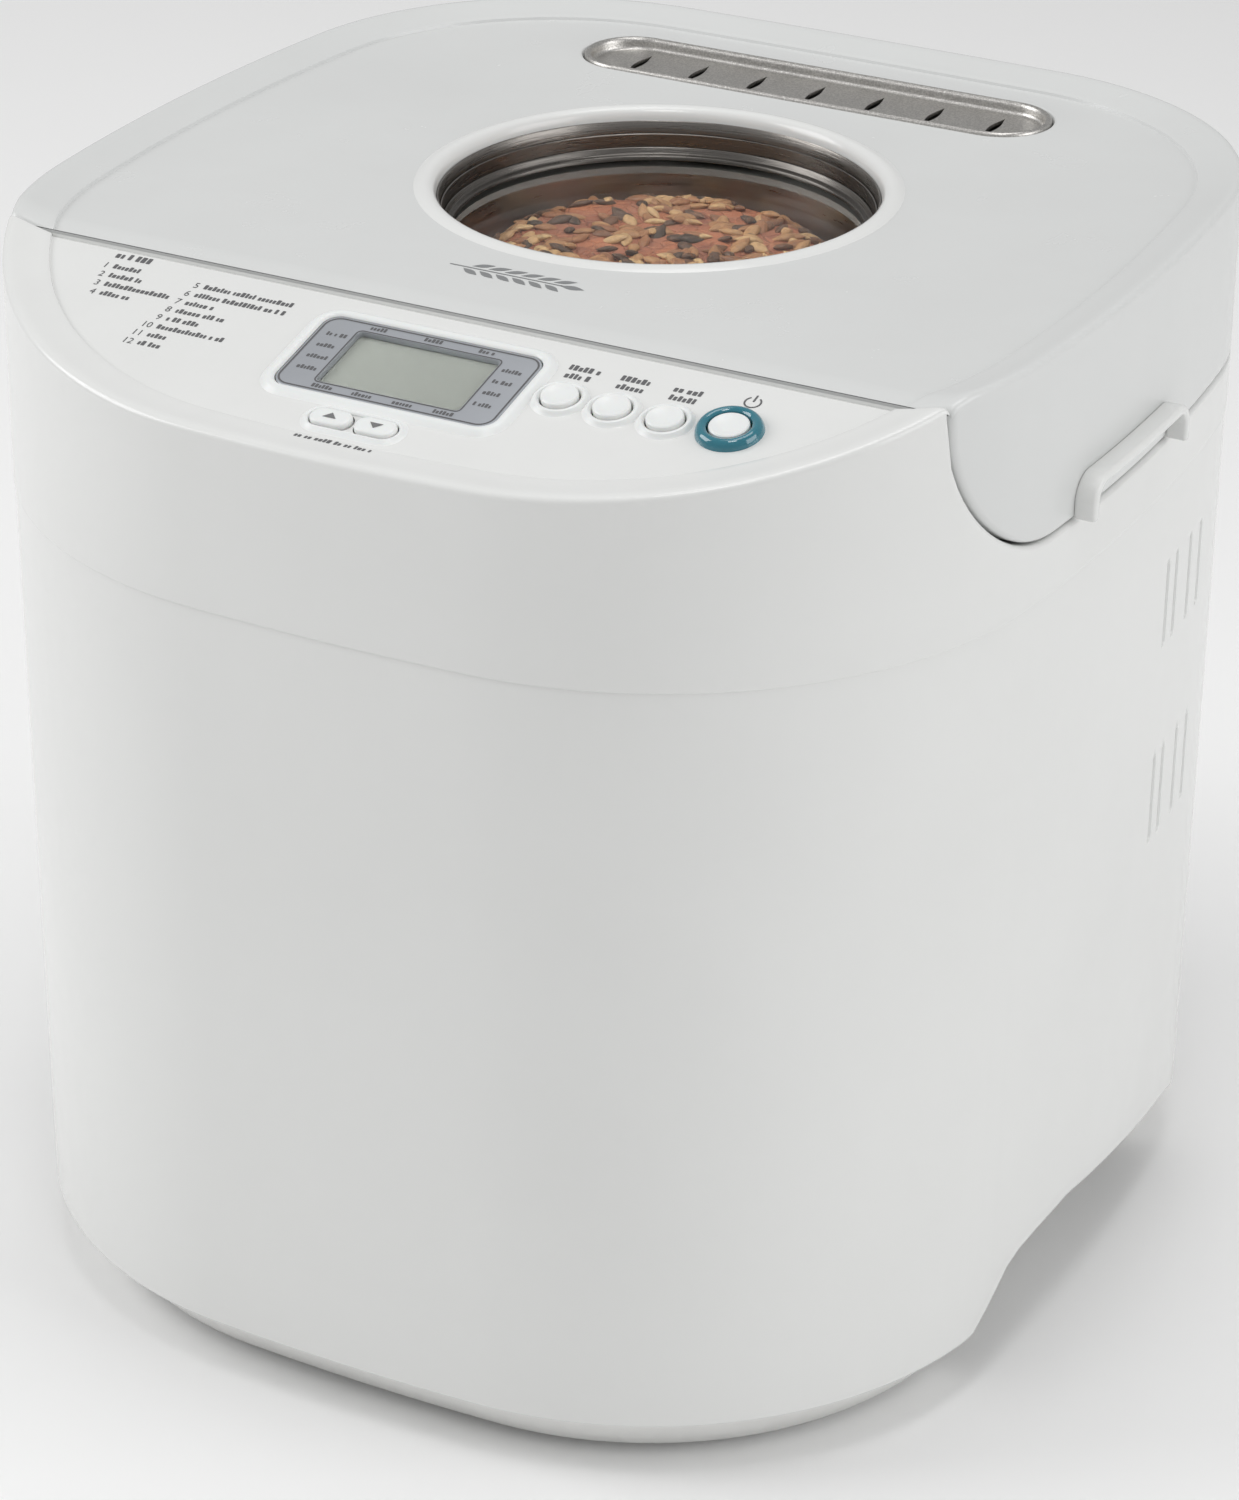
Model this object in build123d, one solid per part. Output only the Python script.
from build123d import *
import math
import os

os.makedirs("parts", exist_ok=True)

# ---------------------------------------------------------------- driving dimensions, in mm
# X to the right, Y to the back, Z up; the origin is on the table under the middle of the machine.

HALF_WIDTH = 160.0          # widest point of the body
BODY_DEPTH = 337.0          # front wall to back wall, on the centre line
HINGE_R = 4.2               # lid hinge knuckle
HINGE_OUT = 4.6             # hinge axis behind the back wall
FRONT_Y = -(BODY_DEPTH + HINGE_OUT + HINGE_R) / 2
BACK_Y = FRONT_Y + BODY_DEPTH
SIDE_Y = -2.4               # where the sides are widest
FRONT_ARC_R = 780.0
SIDE_ARC_R = 700.0
BACK_ARC_R = 3000.0
FRONT_CORNER_R = 121.6
BACK_CORNER_R = 92.9

WALL = 2.6                  # moulded wall
GAP = 0.8                   # parting gap round the lid
SHEET = 1.0                 # pressed steel

FOOT_Z = 3.3                # underside of the base, above the table
SKIRT_Z = 19.4              # bottom edge of the outer wall
SEAM_Z = 259.3              # joint between lower and upper housing
LID_BOTTOM_Z = 270.6
LID_TOP_Z = 321.2
RIM_Z = 325.0               # crest of the raised rim
RIM_W = 9.0
DRAFT = math.radians(0.4)   # the lower wall narrows downwards
GROOVE_Y = -98.5            # line between lid and control deck
DECK_Z = 320.1              # deck height at the groove
DECK_TILT = 14.0            # deck slopes down to the front
RIM_H = RIM_Z - LID_TOP_Z

OVEN_Y = 19.5               # centre of window, chamber, pan and drive
CHAMBER_X = 104.0           # half sizes of the baking chamber, inside
CHAMBER_Y = 92.0
CHAMBER_R = 30.0
CHAMBER_Z = 84.0
CHAMBER_TOP_Z = 265.6
LEDGE_Z = 268.6             # shelf under the lid

WINDOW_R = 65.3
GLASS_Z = 303.0
GLASS_T = 4.0

GRILLE_Y = 122.8
GRILLE_HALF_L = 79.0
GRILLE_HALF_W = 16.0
SLOT_PITCH = 20.4
SLOT_COUNT = 7

PAN_X = 80.0                # half sizes of the bread pan, outside
PAN_Y = 64.0
PAN_R = 24.0
PAN_Z = 104.0
PAN_TOP_Z = 246.0
PAN_T = 1.2
BAIL_Z = 238.0

CHASSIS_Z = 64.0
SHAFT_R = 4.0
RUN_FIT = 0.04              # radial clearance of every running fit
PULLEY_Z = 44.0
PULLEY_T = 12.0
BIG_PULLEY_R = 50.0
SMALL_PULLEY_R = 10.0
MOTOR_X = 62.0
MOTOR_Y = -116.0
MOTOR_R = 33.0

HINGE_Y = BACK_Y + HINGE_OUT
HINGE_Z = LID_BOTTOM_Z - 0.4
HINGE_XS = (-66.0, 66.0)

LID_FRONT_Y = GROOVE_Y + GAP / 2
SCOOP_R = LID_TOP_Z - LID_BOTTOM_Z - 0.4   # quarter round under the lid's front edge
SCOOP_Y = LID_FRONT_Y + SCOOP_R
SCOOP_Z = LID_BOTTOM_Z + SCOOP_R

ARCH_FRONT_Y = -69.0        # ends of the arch in the side walls' lower edge
ARCH_BACK_Y = 92.0
ARCH_Z = 36.6
ARCH_LAND = 8.0             # the base's own arch is shorter, so that its feet reach past the wall's
BASE_TOP_Z = 46.0
BASE_FLOOR_Z = ARCH_Z + 1.0 + WALL
FEET = ((-80.0, -128.0), (80.0, -128.0), (-119.0, 99.0), (119.0, 99.0))
BASE_SCREWS = ((-118.0, -40.0), (118.0, -40.0), (-118.0, 62.0), (118.0, 62.0))
STANDOFFS = ((-92.0, -28.0), (92.0, -28.0), (-92.0, 50.0), (92.0, 50.0))
VENT_YS = (41.3, 49.3, 62.8, 73.3)
VENT_ZS = ((199.0, 226.8), (133.8, 162.8))
VENT_W = 1.8
VENT_DEPTH = 1.3
INLET_X = -52.0
INLET_Z = 64.0
INLET_R = 7.0
CORD_BORE_R = 3.7

ROUND_BUTTONS = {"loaf_size_button": 45.5, "crust_color_button": 61.2, "menu_select_button": 77.1}
ROUND_Y = -123.3
ONOFF_X = 95.2
ONOFF_Y = -121.5
DELAY_X = -1.8
DELAY_Y = -151.2
DELAY_STEP = 6.9            # half the distance between the two delay buttons
SCREEN_Y = -125.4
TRAVEL = 1.0                # button stroke

CAP_R = 5.2
CAP_H = 2.0
RING_R = 7.5
RING_H = 1.2
ONOFF_CAP_R = 5.6
ONOFF_RING_R = 9.3
DELAY_L = 12.4
DELAY_W = 7.0
DELAY_H = 1.5
SWITCH_DEPTH = 10.0         # top of the switches, below the deck's surface

HINGE_PIN_R = 2.0
LINER_Z = LID_BOTTOM_Z + 1.6
LINER_NECK_R = 62.0
GRIP_Y0 = -37.7
GRIP_Y1 = 30.8
GRIP_H = 12.6
GRIP_OUT = 6.5

CHASSIS_T = 1.5
BEARING_R = 11.0
BUSH_R = 7.0
COUPLING_Z = CHAMBER_Z + 4.0
PAN_BEARING_R = 10.0
BAIL_R = 2.0
HEATER_R = 3.2
HEATER_Z = CHAMBER_Z + 18.0
HEATER_END_X = 15.0
SENSOR_Z = 150.0

BIG = 500.0


# ---------------------------------------------------------------- helpers

def circle_meet(c1, r1, c2, r2, side):
    """Meeting point of two circles, on the left (+1) or right (-1) of the line c1 to c2."""
    d = c2 - c1
    a = (r1 * r1 - r2 * r2 + d.length ** 2) / (2 * d.length)
    h = math.sqrt(r1 * r1 - a * a)
    u = d.normalized()
    return c1 + u * a + Vector(-u.Y, u.X) * h * side


def outline(inset=0.0, z=0.0):
    """The machine's plan outline as a face: four long arcs joined by four corner arcs, moved inwards."""
    front_c = Vector(0, FRONT_Y + FRONT_ARC_R)
    side_c = Vector(HALF_WIDTH - SIDE_ARC_R, SIDE_Y)
    back_c = Vector(0, BACK_Y - BACK_ARC_R)
    front_p = circle_meet(front_c, FRONT_ARC_R - FRONT_CORNER_R, side_c, SIDE_ARC_R - FRONT_CORNER_R, 1)
    back_p = circle_meet(back_c, BACK_ARC_R - BACK_CORNER_R, side_c, SIDE_ARC_R - BACK_CORNER_R, -1)

    def on(centre, through, radius):
        return centre + (through - centre).normalized() * (radius - inset)

    def corner(centre, a, b, radius):
        return centre + ((a - centre) + (b - centre)).normalized() * (radius - inset)

    f1 = on(front_c, front_p, FRONT_ARC_R)
    f2 = on(side_c, front_p, SIDE_ARC_R)
    b1 = on(side_c, back_p, SIDE_ARC_R)
    b2 = on(back_c, back_p, BACK_ARC_R)
    front_mid = Vector(0, FRONT_Y + inset)
    side_mid = Vector(HALF_WIDTH - inset, SIDE_Y)
    back_mid = Vector(0, BACK_Y - inset)

    def mirror_x(p):
        return Vector(-p.X, p.Y)

    fc = corner(front_p, f1, f2, FRONT_CORNER_R)
    bc = corner(back_p, b1, b2, BACK_CORNER_R)
    arcs = [
        ThreePointArc(mirror_x(f1), front_mid, f1),
        ThreePointArc(f1, fc, f2),
        ThreePointArc(f2, side_mid, b1),
        ThreePointArc(b1, bc, b2),
        ThreePointArc(b2, back_mid, mirror_x(b2)),
        ThreePointArc(mirror_x(b2), mirror_x(bc), mirror_x(b1)),
        ThreePointArc(mirror_x(b1), mirror_x(side_mid), mirror_x(f2)),
        ThreePointArc(mirror_x(f2), mirror_x(fc), mirror_x(f1)),
    ]
    return Pos(0, 0, z) * make_face(Curve() + arcs)


def prism(z0, z1, inset0=0.0, inset1=None):
    """Solid on the outline from z0 to z1; the inset may change from bottom to top."""
    if inset1 is None:
        return extrude(outline(inset0, z0), z1 - z0)
    return loft([outline(inset0, z0), outline(inset1, z1)], ruled=True)


def wall_inset(z):
    """How far the drafted lower wall stands inside the seam outline at height z."""
    return 0.4 + (SEAM_Z - z) * math.tan(DRAFT)


def side_slab(points, half_x=BIG):
    """Solid across the whole width with the given outline in the YZ plane."""
    face = make_face(Polyline([(y, z) for y, z in points], close=True))
    return extrude(Plane.YZ * face, half_x, both=True)


def box_between(x0, x1, y0, y1, z0, z1):
    return Pos((x0 + x1) / 2, (y0 + y1) / 2, (z0 + z1) / 2) * Box(x1 - x0, y1 - y0, z1 - z0)


def rod(radius, z0, z1, x=0.0, y=0.0):
    return Pos(x, y, z0) * extrude(Circle(radius), z1 - z0)


def tube(outer, inner, z0, z1, x=0.0, y=0.0):
    return Pos(x, y, z0) * extrude(Circle(outer) - Circle(inner), z1 - z0)


def x_rod(radius, x0, x1, y, z):
    return Pos(x0, y, z) * (Plane.YZ * extrude(Circle(radius), x1 - x0))


def y_rod(radius, y0, y1, x, z):
    return Pos(x, y1, z) * (Plane.XZ * extrude(Circle(radius), y1 - y0))


def oven_prism(half_x, half_y, radius, z0, z1):
    """Round-cornered block about the oven's centre."""
    return Pos(0, OVEN_Y, z0) * extrude(RectangleRounded(2 * half_x, 2 * half_y, radius), z1 - z0)


def deck_height(y):
    return DECK_Z + (y - GROOVE_Y) * math.tan(math.radians(DECK_TILT))


def on_deck(x, y):
    """Plane on the control deck's surface above (x, y), its Z along the deck's normal."""
    tilt = math.radians(DECK_TILT)
    return Plane(origin=(x, y, deck_height(y)), x_dir=(1, 0, 0), z_dir=(0, -math.sin(tilt), math.cos(tilt)))


def deck_slab(x, y, sketch, low, high):
    """Sketch raised between two heights above the deck's surface."""
    return on_deck(x, y) * (Pos(0, 0, low) * extrude(sketch, high - low))


# ---------------------------------------------------------------- outer shells

def arch_slab():
    """The arch between front and back feet, cut through both side walls: steep in front, gentle behind."""
    return side_slab([
        (ARCH_FRONT_Y, 0.0),
        (ARCH_FRONT_Y, SKIRT_Z),
        (ARCH_FRONT_Y + 24.0, ARCH_Z - 1.0),
        (ARCH_FRONT_Y + 60.0, ARCH_Z),
        (ARCH_BACK_Y - 10.0, SKIRT_Z + 4.0),
        (ARCH_BACK_Y, SKIRT_Z),
        (ARCH_BACK_Y, 0.0),
    ])


def side_vents():
    """Shallow upright grooves in two groups, high and low on each side wall."""
    left = prism(SKIRT_Z, SEAM_Z, wall_inset(SKIRT_Z) + VENT_DEPTH, wall_inset(SEAM_Z) + VENT_DEPTH)
    cutters = []
    for side in (-1, 1):
        for y in VENT_YS:
            for low, high in VENT_ZS:
                slot = box_between(side * HALF_WIDTH - 12, side * HALF_WIDTH + 12,
                                   y - VENT_W / 2, y + VENT_W / 2, low, high)
                cutters.append(slot - left)
    return cutters


def lower_housing():
    outer = prism(SKIRT_Z, SEAM_Z - 0.3, wall_inset(SKIRT_Z), wall_inset(SEAM_Z))
    inner = prism(SKIRT_Z - 1, SEAM_Z + 1, wall_inset(SKIRT_Z) + WALL, wall_inset(SEAM_Z) + WALL)
    shell = outer - inner - arch_slab()
    for slot in side_vents():
        shell -= slot
    return shell - y_rod(INLET_R, BACK_Y - 20, BACK_Y + 10, INLET_X, INLET_Z)


def base_blank(extra):
    """Sloping foot blocks in front and behind with the raised floor between them, grown inwards by extra."""
    slope = prism(FOOT_Z + extra, SKIRT_Z, 18.0 + extra, 5.2 + extra)
    lip = prism(SKIRT_Z, BASE_TOP_Z + 2 * extra, 5.2 + extra)
    tunnel = box_between(-BIG, BIG, ARCH_FRONT_Y + ARCH_LAND - extra, ARCH_BACK_Y - ARCH_LAND + extra,
                         0, ARCH_Z + 1.0 + extra)
    return slope + lip - tunnel


def base_plate():
    tray = base_blank(0.0) - base_blank(WALL)
    for x, y in FEET:
        tray -= rod(5.0, 0, FOOT_Z + WALL + 1, x, y)
    for x, y in BASE_SCREWS:
        tray -= rod(1.8, 0, BASE_TOP_Z, x, y)
    return tray


def rubber_feet():
    feet = []
    for x, y in FEET:
        pad = rod(9.0, 0, FOOT_Z)
        plug = rod(4.9, FOOT_Z, FOOT_Z + WALL + 0.1)
        knob = rod(5.6, FOOT_Z + WALL + 0.1, FOOT_Z + WALL + 1.5)
        feet.append(Pos(x, y, 0) * (pad + plug + knob))
    return feet


def base_screws():
    screws = []
    for x, y in BASE_SCREWS:
        z = ARCH_Z + 1.0
        screws.append(Pos(x, y, z) * (rod(3.4, -2.0, 0.0) + rod(1.7, 0.0, 10.0)))
    return screws


def lid_room(radius, floor_z):
    """Space over the width: behind the groove, round the quarter round, and down to floor_z behind it."""
    behind = box_between(-BIG, BIG, SCOOP_Y, BIG, floor_z, BIG)
    above = box_between(-BIG, BIG, SCOOP_Y - radius, BIG, SCOOP_Z, BIG)
    return behind + above + x_rod(radius, -BIG, BIG, SCOOP_Y, SCOOP_Z)


def collar_slab(deck_offset, shelf_z):
    """Everything below the deck plane that the lid's room leaves, as one slab over the width."""
    below_deck = on_deck(0, GROOVE_Y) * Pos(0, 0, deck_offset - BIG / 2) * Box(3 * BIG, 3 * BIG, BIG)
    return below_deck - lid_room(SCOOP_Z - shelf_z, shelf_z)


def upper_housing():
    """Collar with the sloping control deck in front and the shelf for the lid behind."""
    blank = prism(SEAM_Z + 0.3, RIM_Z + 5) & collar_slab(RIM_H, LID_BOTTOM_Z - GAP)
    well = prism(SEAM_Z - 5, RIM_Z + 9, RIM_W) - collar_slab(0.0, LEDGE_Z)
    core = prism(SEAM_Z - 5, RIM_Z + 9, WALL) & collar_slab(-WALL, LEDGE_Z - WALL)
    tongue = prism(SEAM_Z - 7, SEAM_Z + 3, 3.6) - prism(SEAM_Z - 8, SEAM_Z + 9, 5.2)
    link = prism(SEAM_Z + 0.3, SEAM_Z + 3, 1.0) - prism(SEAM_Z, SEAM_Z + 9, 5.2)
    collar = blank - well - core + tongue + link
    collar -= oven_prism(CHAMBER_X + 2.0, CHAMBER_Y + 2.0, CHAMBER_R + 2.0, SEAM_Z - 9, LEDGE_Z + 9)
    for cutter in deck_cutouts():
        collar -= cutter
    return collar


def deck_cutouts():
    """Openings in the deck for the display and for each button's stem."""
    cutters = [deck_slab(0, SCREEN_Y, RectangleRounded(60, 30, 3), -9, 9)]
    for x in ROUND_BUTTONS.values():
        cutters.append(deck_slab(x, ROUND_Y, Circle(CAP_R + 0.4), -9, 9))
    cutters.append(deck_slab(ONOFF_X, ONOFF_Y, Circle(ONOFF_CAP_R + 0.4), -9, 9))
    for side in (-1, 1):
        hole = RectangleRounded(DELAY_L + 0.7, DELAY_W + 0.7, DELAY_W / 2)
        cutters.append(deck_slab(DELAY_X + side * DELAY_STEP, DELAY_Y, hole, -9, 9))
    return cutters


# ---------------------------------------------------------------- control deck

def display_frame():
    ring = RectangleRounded(74, 39.4, 7.5) - RectangleRounded(69.2, 34.6, 5.3)
    return deck_slab(0, SCREEN_Y, ring, 0.0, 1.3)


def display_bezel():
    plate = RectangleRounded(68.6, 34.0, 5.0) - RectangleRounded(44.6, 24.5, 1.2)
    return deck_slab(0, SCREEN_Y, plate, 0.0, 1.0)


def display_window():
    return deck_slab(0, SCREEN_Y, RectangleRounded(58, 28, 2), -1.3, -0.1)


def lcd_module():
    glass = deck_slab(0, SCREEN_Y, Rectangle(52, 27), -4.2, -1.5)
    carrier = deck_slab(0, SCREEN_Y, Rectangle(54, 29), -6.0, -4.2)
    return glass + carrier


def push_button(x, y, cap, flange, stem, crown):
    """Cap through the deck, with a flange that keeps it in and a stem that reaches the switch."""
    head = deck_slab(x, y, cap, -WALL - TRAVEL - 0.4, crown)
    skirt = deck_slab(x, y, flange, -WALL - 1.7, -WALL - 0.3)
    foot = deck_slab(x, y, stem, -SWITCH_DEPTH + TRAVEL + 0.3, -WALL - 1.7)
    return head + skirt + foot


def round_button(x):
    return push_button(x, ROUND_Y, Circle(CAP_R), Circle(CAP_R + 1.2), Circle(1.6), CAP_H)


def on_off_button():
    return push_button(ONOFF_X, ONOFF_Y, Circle(ONOFF_CAP_R), Circle(ONOFF_CAP_R + 1.2), Circle(1.6), CAP_H)


def delay_button(side):
    cap = RectangleRounded(DELAY_L, DELAY_W, DELAY_W / 2 - 0.2)
    flange = RectangleRounded(DELAY_L + 0.5, DELAY_W + 1.6, DELAY_W / 2)
    return push_button(DELAY_X + side * DELAY_STEP, DELAY_Y, cap, flange, Circle(1.6), DELAY_H)


def button_rings():
    rings = []
    for x in ROUND_BUTTONS.values():
        rings.append(deck_slab(x, ROUND_Y, Circle(RING_R) - Circle(CAP_R + 0.4), 0.0, RING_H))
    return rings


def on_off_ring():
    return deck_slab(ONOFF_X, ONOFF_Y, Circle(ONOFF_RING_R) - Circle(ONOFF_CAP_R + 0.4), 0.0, 2.6)


def delay_bezel():
    ring = RectangleRounded(29.0, 9.8, 4.8)
    for side in (-1, 1):
        ring -= Pos(side * DELAY_STEP, 0) * RectangleRounded(DELAY_L + 0.7, DELAY_W + 0.7, DELAY_W / 2)
    return deck_slab(DELAY_X, DELAY_Y, ring, 0.0, 0.7)


def control_board():
    wide = deck_slab(28, ROUND_Y, Rectangle(156, 24), -SWITCH_DEPTH - 3.6, -SWITCH_DEPTH - 2.0)
    tongue = deck_slab(DELAY_X, -142.0, Rectangle(60, 28), -SWITCH_DEPTH - 3.6, -SWITCH_DEPTH - 2.0)
    return wide + tongue


def tact_switches():
    switches = []
    places = [(x, ROUND_Y) for x in ROUND_BUTTONS.values()]
    places.append((ONOFF_X, ONOFF_Y))
    places += [(DELAY_X + side * DELAY_STEP, DELAY_Y) for side in (-1, 1)]
    for x, y in places:
        body = deck_slab(x, y, Rectangle(6, 6), -SWITCH_DEPTH - 2.0, -SWITCH_DEPTH - 0.4)
        plunger = deck_slab(x, y, Circle(1.5), -SWITCH_DEPTH - 0.4, -SWITCH_DEPTH)
        switches.append(body + plunger)
    return switches


# ---------------------------------------------------------------- lid

def lid_slab(inset, floor_z):
    """The lid's room moved in by inset."""
    return lid_room(SCOOP_R - inset, floor_z)


def stadium(half_length, half_width):
    return SlotOverall(2 * half_length, 2 * half_width)


def lid_outer():
    blank = prism(LID_BOTTOM_Z, RIM_Z, 0.15) & lid_slab(0.0, LID_BOTTOM_Z - 1)
    core = prism(LID_BOTTOM_Z - 2, LID_TOP_Z - WALL, WALL + 0.15) & lid_slab(WALL, LID_BOTTOM_Z - 3)
    shell = blank - core - prism(LID_TOP_Z, RIM_Z + 9, RIM_W)
    neck = tube(WINDOW_R + 2.4, WINDOW_R, GLASS_Z + GLASS_T + 1.5, LID_TOP_Z, 0, OVEN_Y)
    shell = shell - rod(WINDOW_R, 0, BIG, 0, OVEN_Y) + neck
    shell -= Pos(0, GRILLE_Y, LID_TOP_Z - WALL - 1) * extrude(stadium(GRILLE_HALF_L, GRILLE_HALF_W), 9)
    return shell


def hinge_leaf(x):
    """Knuckle behind the lid with the web that joins it to the back wall."""
    y_wall = BACK_Y - 3.0
    web = box_between(x - 9, x + 9, y_wall, HINGE_Y + 0.6, HINGE_Z + 1.5, HINGE_Z + 13)
    knuckle = x_rod(HINGE_R, x - 9, x + 9, HINGE_Y, HINGE_Z)
    leaf = web + knuckle
    inside = prism(0, BIG, 0.15)
    return leaf - inside - x_rod(HINGE_PIN_R + RUN_FIT, x - 20, x + 20, HINGE_Y, HINGE_Z)


def hinge_brackets():
    """Two ears each side of every lid knuckle, fixed to the collar's back wall."""
    ears = []
    for x in HINGE_XS:
        for side in (-1, 1):
            a = x + side * 9.5
            b = x + side * 15.0
            low, high = min(a, b), max(a, b)
            barrel = x_rod(HINGE_R, low, high, HINGE_Y, HINGE_Z)
            web = box_between(low, high, BACK_Y - 4, HINGE_Y + 1.5, HINGE_Z - 18, HINGE_Z - 1.5)
            ear = barrel + web - prism(0, BIG, -0.05)
            ears.append(ear - x_rod(HINGE_PIN_R + 0.02, low - 1, high + 1, HINGE_Y, HINGE_Z))
    return ears


def hinge_pins():
    return [x_rod(HINGE_PIN_R, x - 15.0, x + 15.0, HINGE_Y, HINGE_Z) for x in HINGE_XS]


def lid_liner():
    """Steel pan that closes the lid's underside and rises in a neck to the glass."""
    blank = prism(LINER_Z, LINER_Z + SHEET, 4.0) & lid_slab(4.0, 0)
    plate = blank - rod(LINER_NECK_R, 0, BIG, 0, OVEN_Y)
    for x in range(-45, 46, 15):
        plate -= rod(2.5, 0, BIG, x, GRILLE_Y)
    neck = tube(LINER_NECK_R + SHEET, LINER_NECK_R, LINER_Z, GLASS_Z - 3.2, 0, OVEN_Y)
    lip = tube(WINDOW_R + 3.2, LINER_NECK_R, GLASS_Z - 3.2, GLASS_Z - 2.2, 0, OVEN_Y)
    return plate + neck + lip


def window_gasket():
    return tube(WINDOW_R + 3.0, WINDOW_R - 3.5, GLASS_Z - 2.2, GLASS_Z, 0, OVEN_Y)


def lid_window():
    return rod(WINDOW_R + 2.0, GLASS_Z, GLASS_Z + GLASS_T, 0, OVEN_Y)


def window_ring():
    """Bright trim ring on the glass, under the lid's lip."""
    return tube(WINDOW_R - 0.4, WINDOW_R - 4.4, GLASS_Z + GLASS_T, GLASS_Z + GLASS_T + 1.2, 0, OVEN_Y)


def steam_grille():
    """Recessed stainless plate with leaf-shaped slots across it and a raised rim."""
    z = LID_TOP_Z - 2.3
    plate = Pos(0, GRILLE_Y, z - SHEET) * extrude(stadium(GRILLE_HALF_L - 0.3, GRILLE_HALF_W - 0.3), SHEET)
    rim = stadium(GRILLE_HALF_L - 0.3, GRILLE_HALF_W - 0.3)
    rim -= stadium(GRILLE_HALF_L - 1.3, GRILLE_HALF_W - 1.3)
    plate += Pos(0, GRILLE_Y, z) * extrude(rim, 2.6)
    leaf_r = (8.5 ** 2 + 1.3 ** 2) / (2 * 1.3)
    leaf = Pos(leaf_r - 1.3, 0) * Circle(leaf_r) & Pos(1.3 - leaf_r, 0) * Circle(leaf_r)
    for i in range(SLOT_COUNT):
        x = (i - (SLOT_COUNT - 1) / 2) * SLOT_PITCH
        plate -= Pos(x, GRILLE_Y, z - 5) * extrude(leaf, 9)
    return plate


def steam_baffle():
    """Tray under the grille that leads steam up from the liner's holes."""
    outer = Pos(0, GRILLE_Y, LID_TOP_Z - 16) * extrude(stadium(GRILLE_HALF_L - 6, GRILLE_HALF_W - 3), 12.2)
    inner = Pos(0, GRILLE_Y, LID_TOP_Z - 15) * extrude(stadium(GRILLE_HALF_L - 7, GRILLE_HALF_W - 4), 12.2)
    tray = outer - inner
    for x in range(-45, 46, 15):
        tray -= rod(2.5, 0, BIG, x, GRILLE_Y)
    return tray


def lid_grip(side):
    """Arched finger grip standing out from the lid's skirt."""
    mid_y = (GRIP_Y0 + GRIP_Y1) / 2
    length = GRIP_Y1 - GRIP_Y0
    arch = Pos(mid_y, LID_BOTTOM_Z + 0.2) * RectangleRounded(length, 2 * GRIP_H, 8.0)
    hollow = Pos(mid_y, LID_BOTTOM_Z + 0.2) * RectangleRounded(length - 6.0, 2 * GRIP_H - 6.0, 5.0)
    below = Pos(mid_y, LID_BOTTOM_Z - BIG / 2) * Rectangle(BIG, BIG)
    face = arch - hollow - below
    block = Plane.YZ * extrude(face, HALF_WIDTH + GRIP_OUT)
    block -= prism(LID_BOTTOM_Z - 9, RIM_Z, 0.15)
    clip = prism(LID_BOTTOM_Z - 9, RIM_Z, -GRIP_OUT)
    grip = block & clip
    if side < 0:
        grip = mirror(grip, Plane.YZ)
    return grip


# ---------------------------------------------------------------- oven and drive

def baking_chamber():
    outer = oven_prism(CHAMBER_X + SHEET, CHAMBER_Y + SHEET, CHAMBER_R + SHEET, CHAMBER_Z, CHAMBER_TOP_Z)
    inner = oven_prism(CHAMBER_X, CHAMBER_Y, CHAMBER_R, CHAMBER_Z + SHEET, BIG)
    flange = oven_prism(CHAMBER_X + 9, CHAMBER_Y + 9, CHAMBER_R + 9, CHAMBER_TOP_Z - SHEET, CHAMBER_TOP_Z)
    box = outer + flange - inner - rod(BEARING_R + 0.2, 0, 100, 0, OVEN_Y)
    for x in (-HEATER_END_X, HEATER_END_X):
        box -= y_rod(HEATER_R + 0.4, OVEN_Y + CHAMBER_Y - 9, OVEN_Y + CHAMBER_Y + 9, x, HEATER_Z)
    return box - y_rod(3.3, OVEN_Y - CHAMBER_Y - 9, OVEN_Y - CHAMBER_Y + 9, 40, SENSOR_Z)


def heating_element():
    """One tube round the bottom of the chamber, its ends passing out through the back wall."""
    x = CHAMBER_X - 7.6
    y0 = OVEN_Y - CHAMBER_Y + 7.6
    y1 = OVEN_Y + CHAMBER_Y - 7.6
    out = OVEN_Y + CHAMBER_Y + 14
    path = FilletPolyline(
        (HEATER_END_X, out, HEATER_Z), (HEATER_END_X, y1, HEATER_Z), (x, y1, HEATER_Z), (x, y0, HEATER_Z),
        (-x, y0, HEATER_Z), (-x, y1, HEATER_Z), (-HEATER_END_X, y1, HEATER_Z), (-HEATER_END_X, out, HEATER_Z),
        radius=(7.0, 24.0, 24.0, 24.0, 24.0, 7.0))
    return sweep(path.location_at(0) * Circle(HEATER_R), path=path)


def heater_brackets():
    """Small saddles that carry the tube off the chamber's floor."""
    saddles = []
    top = HEATER_Z - HEATER_R - 0.05
    for x in (-CHAMBER_X + 7.6, CHAMBER_X - 7.6):
        for y in (OVEN_Y - 30, OVEN_Y + 30):
            saddles.append(box_between(x - 4, x + 4, y - 3, y + 3, CHAMBER_Z + SHEET, top))
    return saddles


def temperature_sensor():
    y_wall = OVEN_Y - CHAMBER_Y
    probe = y_rod(3.0, y_wall - 8, y_wall + 6, 40, SENSOR_Z)
    collar = y_rod(5.5, y_wall - 3.4, y_wall - SHEET - 0.05, 40, SENSOR_Z)
    return probe + collar


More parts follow.
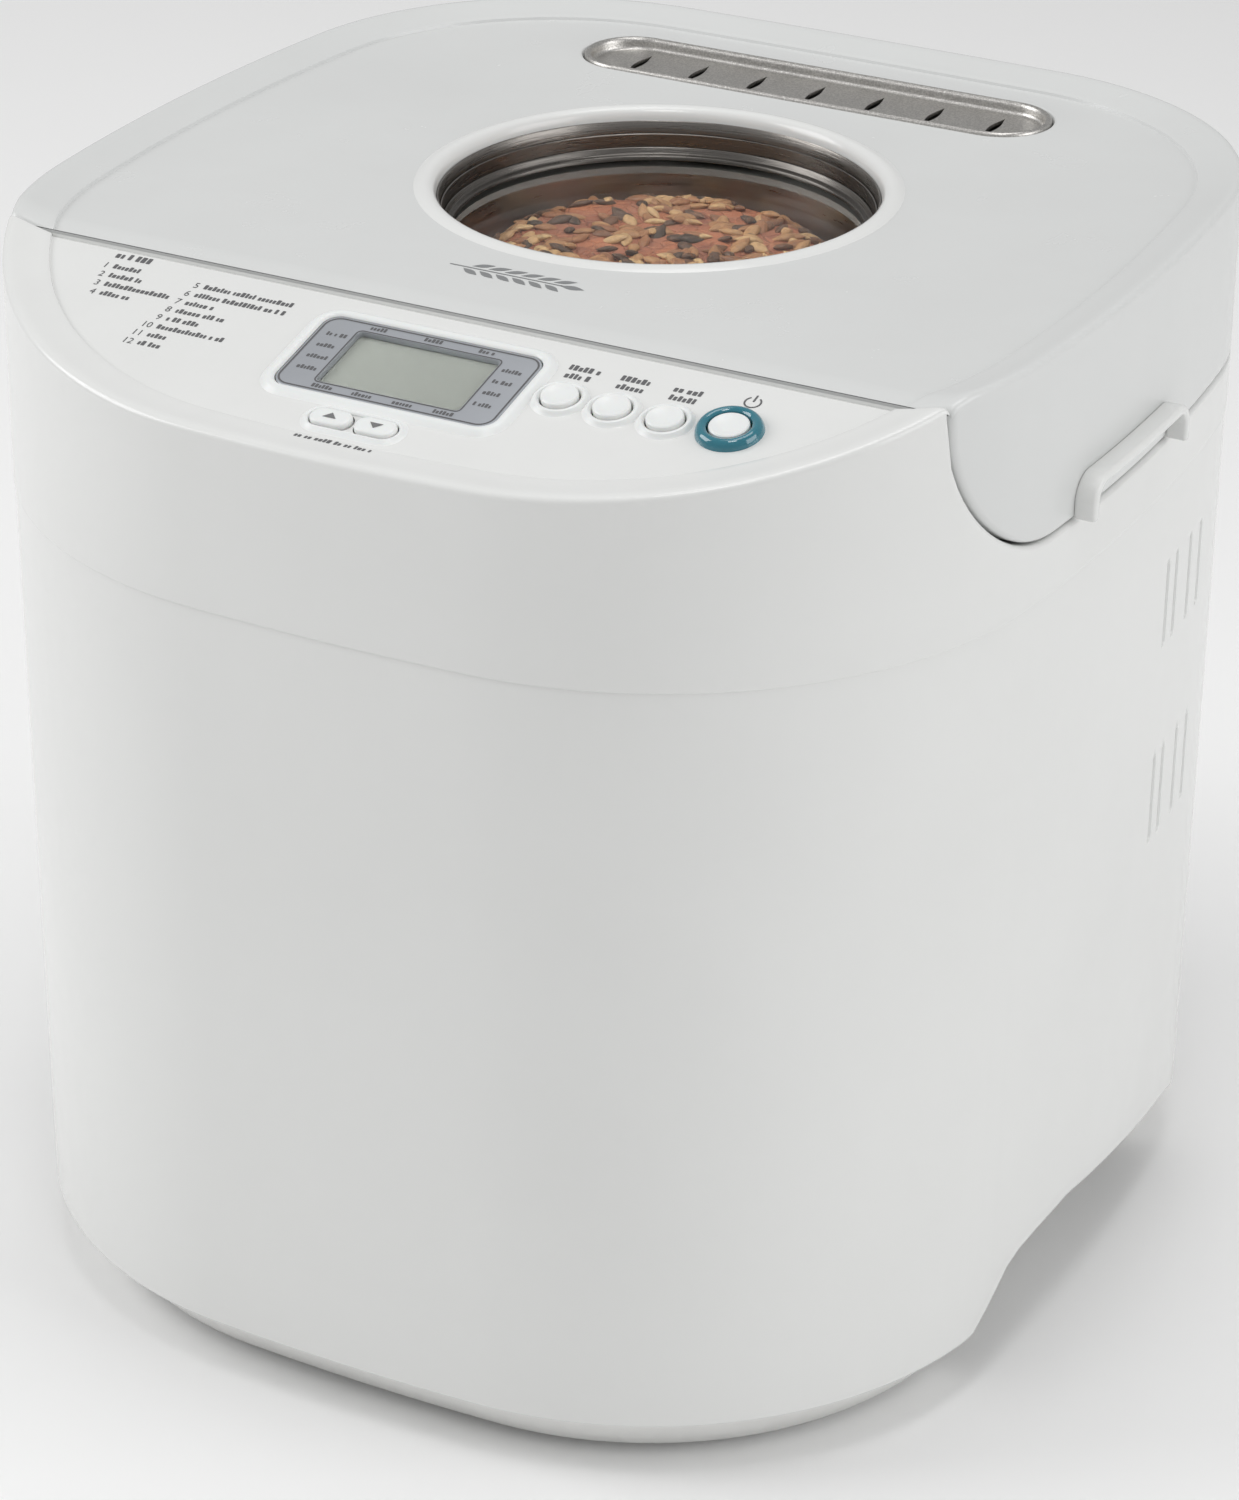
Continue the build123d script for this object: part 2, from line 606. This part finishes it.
def pan_seat():
    """Ring on the chamber's floor with inward tabs that hold the pan's base."""
    ring = tube(48, 45.5, CHAMBER_Z + SHEET, CHAMBER_Z + 13, 0, OVEN_Y)
    foot = tube(52, 45.5, CHAMBER_Z + SHEET, CHAMBER_Z + SHEET + 1.2, 0, OVEN_Y)
    seat = ring + foot
    for angle in (0, 120, 240):
        bar = box_between(42.4, 46, -3.8, 3.8, CHAMBER_Z + 11, CHAMBER_Z + 13)
        tab = Pos(0, OVEN_Y, 0) * Rot(0, 0, angle) * bar
        seat += tab
    return seat


def chamber_brackets():
    """Folded steel feet between chassis and chamber floor."""
    feet = []
    for x in (-78, 78):
        for y in (OVEN_Y - 58, OVEN_Y + 58):
            low = CHASSIS_Z + CHASSIS_T
            web = box_between(x - 1, x + 1, y - 8, y + 8, low, CHAMBER_Z)
            sole = box_between(x - 1, x + 9, y - 8, y + 8, low, low + 1.5)
            head = box_between(x - 1, x + 9, y - 8, y + 8, CHAMBER_Z - 1.5, CHAMBER_Z)
            feet.append(web + sole + head)
    return feet


def chassis():
    plate = Pos(0, -10, CHASSIS_Z) * extrude(RectangleRounded(210, 262, 12), CHASSIS_T)
    plate -= rod(BEARING_R + 0.2, 0, 90, 0, OVEN_Y)
    plate -= rod(12.5, 0, 90, MOTOR_X, MOTOR_Y)
    plate = plate & prism(0, BIG, 14)
    for x, y in STANDOFFS:
        plate -= rod(2.0, 0, 90, x, y)
    return plate


def chassis_posts():
    return [tube(5.0, 1.8, BASE_FLOOR_Z, CHASSIS_Z, x, y) for x, y in STANDOFFS]


def chassis_screws():
    z = CHASSIS_Z + CHASSIS_T
    return [rod(4.0, z, z + 2.4, x, y) + rod(1.7, z - 14, z, x, y) for x, y in STANDOFFS]


def bearing_housing():
    low = CHASSIS_Z + CHASSIS_T
    barrel = rod(BEARING_R, CHASSIS_Z - 4, CHAMBER_Z + SHEET + 2, 0, OVEN_Y)
    flange = rod(27, low, low + 4, 0, OVEN_Y)
    body = barrel + flange - rod(BUSH_R + 0.02, 0, 100, 0, OVEN_Y)
    for angle in range(30, 390, 60):
        rib = box_between(BEARING_R - 1, 24, -1.2, 1.2, low + 3, low + 12)
        body += Pos(0, OVEN_Y, 0) * Rot(0, 0, angle) * rib
    return body


def bushes():
    low = CHASSIS_Z - 4
    high = CHAMBER_Z + SHEET + 2
    bore = SHAFT_R + RUN_FIT
    return [tube(BUSH_R, bore, low, low + 8, 0, OVEN_Y), tube(BUSH_R, bore, high - 8, high, 0, OVEN_Y)]


def drive_shaft():
    return rod(SHAFT_R, PULLEY_Z - 2, COUPLING_Z + 5, 0, OVEN_Y)


def v_pulley(radius, hub_r, bore, x, y):
    """Belt pulley: two rims with a groove, a thin web and a hub."""
    top = PULLEY_Z + PULLEY_T
    disc = rod(radius, PULLEY_Z, top, x, y)
    groove = tube(radius + 1, radius - 3.0, PULLEY_Z + 2, top - 2, x, y)
    pulley = disc - groove
    if radius > 3 * hub_r:
        pulley -= tube(radius - 6.5, hub_r, PULLEY_Z - 1, PULLEY_Z + 4, x, y)
        pulley -= tube(radius - 6.5, hub_r, top - 4, top + 1, x, y)
    return pulley - rod(bore, 0, 100, x, y)


def drive_pulley():
    return v_pulley(BIG_PULLEY_R, 12.0, SHAFT_R + 0.02, 0, OVEN_Y)


def motor_pulley():
    return v_pulley(SMALL_PULLEY_R, 6.0, SHAFT_R + 0.02, MOTOR_X, MOTOR_Y)


def drive_belt():
    """Flat belt round both pulleys, resting in their grooves, along the outer tangents."""
    r1 = BIG_PULLEY_R - 2.7
    r2 = SMALL_PULLEY_R - 2.7
    z = PULLEY_Z + 2.4
    height = PULLEY_T - 4.8
    outer = belt_face(r1 + 1.8, r2 + 1.8)
    inner = belt_face(r1, r2)
    return Pos(0, 0, z) * extrude(outer - inner, height)


def belt_face(r1, r2):
    """Hull of two circles: both discs and the four-sided field between their tangent points."""
    dx, dy = MOTOR_X, MOTOR_Y - OVEN_Y
    length = math.hypot(dx, dy)
    heading = math.atan2(dy, dx)
    spread = math.acos((r1 - r2) / length)
    quad = []
    for sign in (1, -1):
        a = heading + sign * spread
        near = (r1 * math.cos(a), OVEN_Y + r1 * math.sin(a))
        far = (MOTOR_X + r2 * math.cos(a), MOTOR_Y + r2 * math.sin(a))
        quad += [near, far] if sign > 0 else [far, near]
    field = make_face(Polyline(quad, close=True))
    return field + Pos(0, OVEN_Y) * Circle(r1) + Pos(MOTOR_X, MOTOR_Y) * Circle(r2)


def drive_coupling():
    """Dog on the drive shaft: a disc with two lugs standing up."""
    disc = rod(15, COUPLING_Z, COUPLING_Z + 3, 0, OVEN_Y)
    dog = disc
    for angle in (0, 180):
        lug = box_between(8, 14, -3, 3, COUPLING_Z + 3, COUPLING_Z + 9)
        dog += Pos(0, OVEN_Y, 0) * Rot(0, 0, angle) * lug
    return dog - rod(SHAFT_R + 0.02, 0, COUPLING_Z + 20, 0, OVEN_Y)


def motor_body():
    low = CHASSIS_Z + CHASSIS_T
    can = rod(MOTOR_R, low, low + 70, MOTOR_X, MOTOR_Y)
    boss = rod(12, low - 3, low, MOTOR_X, MOTOR_Y)
    cap = rod(MOTOR_R - 8, low + 70, low + 76, MOTOR_X, MOTOR_Y)
    return can + boss + cap - rod(SHAFT_R + RUN_FIT, 0, low + 60, MOTOR_X, MOTOR_Y)


def motor_shaft():
    return rod(SHAFT_R, PULLEY_Z - 2, CHASSIS_Z + 60, MOTOR_X, MOTOR_Y)


def power_board():
    return box_between(-140, -116, -60, 30, CHASSIS_Z + 6, CHASSIS_Z + 7.6)


def board_parts():
    """Transformer, relay and capacitor on the power board."""
    z = CHASSIS_Z + 7.6
    return [
        box_between(-139, -119, -55, -30, z, z + 24),
        box_between(-138, -122, -20, 0, z, z + 15),
        rod(5.5, z, z + 18, -128, 15),
    ]


def board_posts():
    feet = []
    for y in (-56, 26):
        feet.append(rod(3, BASE_FLOOR_Z, CHASSIS_Z + 6, -128, y))
    return feet


def cord_grommet():
    """Rubber gland in the back wall with a plain bore for the supply cord."""
    y = BACK_Y - wall_inset(INLET_Z)
    neck = y_rod(INLET_R - 0.15, y - WALL - 2.0, y + 1.0, INLET_X, INLET_Z)
    outside = y_rod(INLET_R + 2.0, y + 0.6, y + 2.6, INLET_X, INLET_Z)
    inside = y_rod(INLET_R + 2.0, y - WALL - 6.0, y - WALL - 2.0, INLET_X, INLET_Z)
    return neck + outside + inside - y_rod(CORD_BORE_R, y - 30, y + 30, INLET_X, INLET_Z)


# ---------------------------------------------------------------- bread pan

def bread_pan():
    body = oven_prism(PAN_X, PAN_Y, PAN_R, PAN_Z, PAN_TOP_Z)
    cavity = oven_prism(PAN_X - PAN_T, PAN_Y - PAN_T, PAN_R - PAN_T, PAN_Z + PAN_T, BIG)
    rim = oven_prism(PAN_X + 3.0, PAN_Y + 3.0, PAN_R + 3.0, PAN_TOP_Z - 2.5, PAN_TOP_Z)
    return body + rim - cavity - rod(PAN_BEARING_R, 0, PAN_Z + 9, 0, OVEN_Y)


def pan_ears():
    """Riveted lugs on the short sides that carry the bail."""
    ears = []
    for side in (-1, 1):
        x0 = side * (PAN_X + 0.05)
        x1 = side * (PAN_X + 2.2)
        low, high = min(x0, x1), max(x0, x1)
        plate = box_between(low, high, OVEN_Y - 9, OVEN_Y + 9, BAIL_Z - 14, BAIL_Z + 4)
        ears.append(plate - x_rod(BAIL_R + 0.06, low - 1, high + 1, OVEN_Y, BAIL_Z))
    return ears


def pan_bail():
    """Wire handle folded down round the back of the rim, its ends turned into the lugs."""
    x = PAN_X + 8.0
    reach = OVEN_Y + 77.0
    inner = PAN_X + 0.35
    path = FilletPolyline(
        (inner, OVEN_Y, BAIL_Z), (x, OVEN_Y, BAIL_Z), (x, reach, BAIL_Z), (-x, reach, BAIL_Z),
        (-x, OVEN_Y, BAIL_Z), (-inner, OVEN_Y, BAIL_Z), radius=(3.6, 30.0, 30.0, 3.6))
    return sweep(path.location_at(0) * Circle(BAIL_R), path=path)


def pan_base():
    """Cast ring under the pan with tabs that lock beneath the seat's tabs."""
    ring = tube(41.5, 36, CHAMBER_Z + 5, PAN_Z - 0.02, 0, OVEN_Y)
    web = tube(37, PAN_BEARING_R + 0.1, PAN_Z - 3, PAN_Z - 0.02, 0, OVEN_Y)
    base = ring + web
    for angle in (0, 120, 240):
        tab = box_between(41, 44.6, -3.7, 3.7, CHAMBER_Z + 7.5, CHAMBER_Z + 10.2)
        base += Pos(0, OVEN_Y, 0) * Rot(0, 0, angle) * tab
    return base


def pan_bearing():
    outer = rod(PAN_BEARING_R - 0.02, PAN_Z - 5, PAN_Z + 5, 0, OVEN_Y)
    flange = rod(15, PAN_Z + PAN_T + 0.02, PAN_Z + 5, 0, OVEN_Y)
    return outer + flange - rod(SHAFT_R + RUN_FIT, 0, BIG, 0, OVEN_Y)


def pan_shaft():
    return rod(SHAFT_R, COUPLING_Z + 5.6, PAN_Z + 24, 0, OVEN_Y)


def pan_coupler():
    """Winged dog under the pan, a quarter turn from the lugs it meets."""
    low = COUPLING_Z + 5.6
    hub = rod(6.5, low, PAN_Z - 5.3, 0, OVEN_Y)
    wings = Pos(0, OVEN_Y, 0) * box_between(-3, 3, -14, 14, low, COUPLING_Z + 9)
    return hub + wings - rod(SHAFT_R + 0.02, 0, BIG, 0, OVEN_Y)


def kneading_paddle():
    """Hub on the pan shaft with one leaning blade."""
    low = PAN_Z + 8
    hub = rod(9, low, low + 20, 0, OVEN_Y)
    root = Pos(0, OVEN_Y, low) * extrude(Pos(24, 0) * RectangleRounded(40, 7, 3), 3)
    blade = Pos(0, OVEN_Y, 0) * box_between(5, 42, -1.6, 1.6, low + 1, low + 26)
    blade = blade - Pos(46, OVEN_Y, low + 36) * (Plane.XZ * extrude(Circle(22), 30, both=True))
    return hub + root + blade - rod(SHAFT_R + 0.02, 0, PAN_Z + 25, 0, OVEN_Y)


# ---------------------------------------------------------------- write every node

def build():
    nodes = {
        "lower_housing": lower_housing(),
        "base_plate": base_plate(),
        "rubber_feet": Compound(rubber_feet()),
        "base_screws": Compound(base_screws()),
        "upper_housing": upper_housing(),
        "display_frame": display_frame(),
        "display_bezel": display_bezel(),
        "display_window": display_window(),
        "lcd_module": lcd_module(),
        "button_rings": Compound(button_rings()),
        "on_off_ring": on_off_ring(),
        "on_off_button": on_off_button(),
        "delay_bezel": delay_bezel(),
        "delay_up_button": delay_button(-1),
        "delay_down_button": delay_button(1),
        "control_board": control_board(),
        "tact_switches": Compound(tact_switches()),
        "lid_outer": lid_outer(),
        "hinge_leaves": Compound([hinge_leaf(x) for x in HINGE_XS]),
        "hinge_brackets": Compound(hinge_brackets()),
        "hinge_pins": Compound(hinge_pins()),
        "lid_liner": lid_liner(),
        "window_gasket": window_gasket(),
        "lid_window": lid_window(),
        "window_ring": window_ring(),
        "steam_grille": steam_grille(),
        "steam_baffle": steam_baffle(),
        "lid_grip_right": lid_grip(1),
        "lid_grip_left": lid_grip(-1),
        "baking_chamber": baking_chamber(),
        "heating_element": heating_element(),
        "heater_brackets": Compound(heater_brackets()),
        "temperature_sensor": temperature_sensor(),
        "pan_seat": pan_seat(),
        "chamber_brackets": Compound(chamber_brackets()),
        "chassis": chassis(),
        "chassis_posts": Compound(chassis_posts()),
        "chassis_screws": Compound(chassis_screws()),
        "bearing_housing": bearing_housing(),
        "bushes": Compound(bushes()),
        "drive_shaft": drive_shaft(),
        "drive_pulley": drive_pulley(),
        "drive_coupling": drive_coupling(),
        "drive_belt": drive_belt(),
        "motor_body": motor_body(),
        "motor_shaft": motor_shaft(),
        "motor_pulley": motor_pulley(),
        "power_board": Compound([power_board()] + board_parts() + board_posts()),
        "cord_grommet": cord_grommet(),
        "bread_pan": bread_pan(),
        "pan_ears": Compound(pan_ears()),
        "pan_bail": pan_bail(),
        "pan_base": pan_base(),
        "pan_bearing": pan_bearing(),
        "pan_shaft": pan_shaft(),
        "pan_coupler": pan_coupler(),
        "kneading_paddle": kneading_paddle(),
    }
    for name, x in ROUND_BUTTONS.items():
        nodes[name] = round_button(x)
    return nodes


for node_name, solid in build().items():
    export_step(solid, f"parts/{node_name}.step")
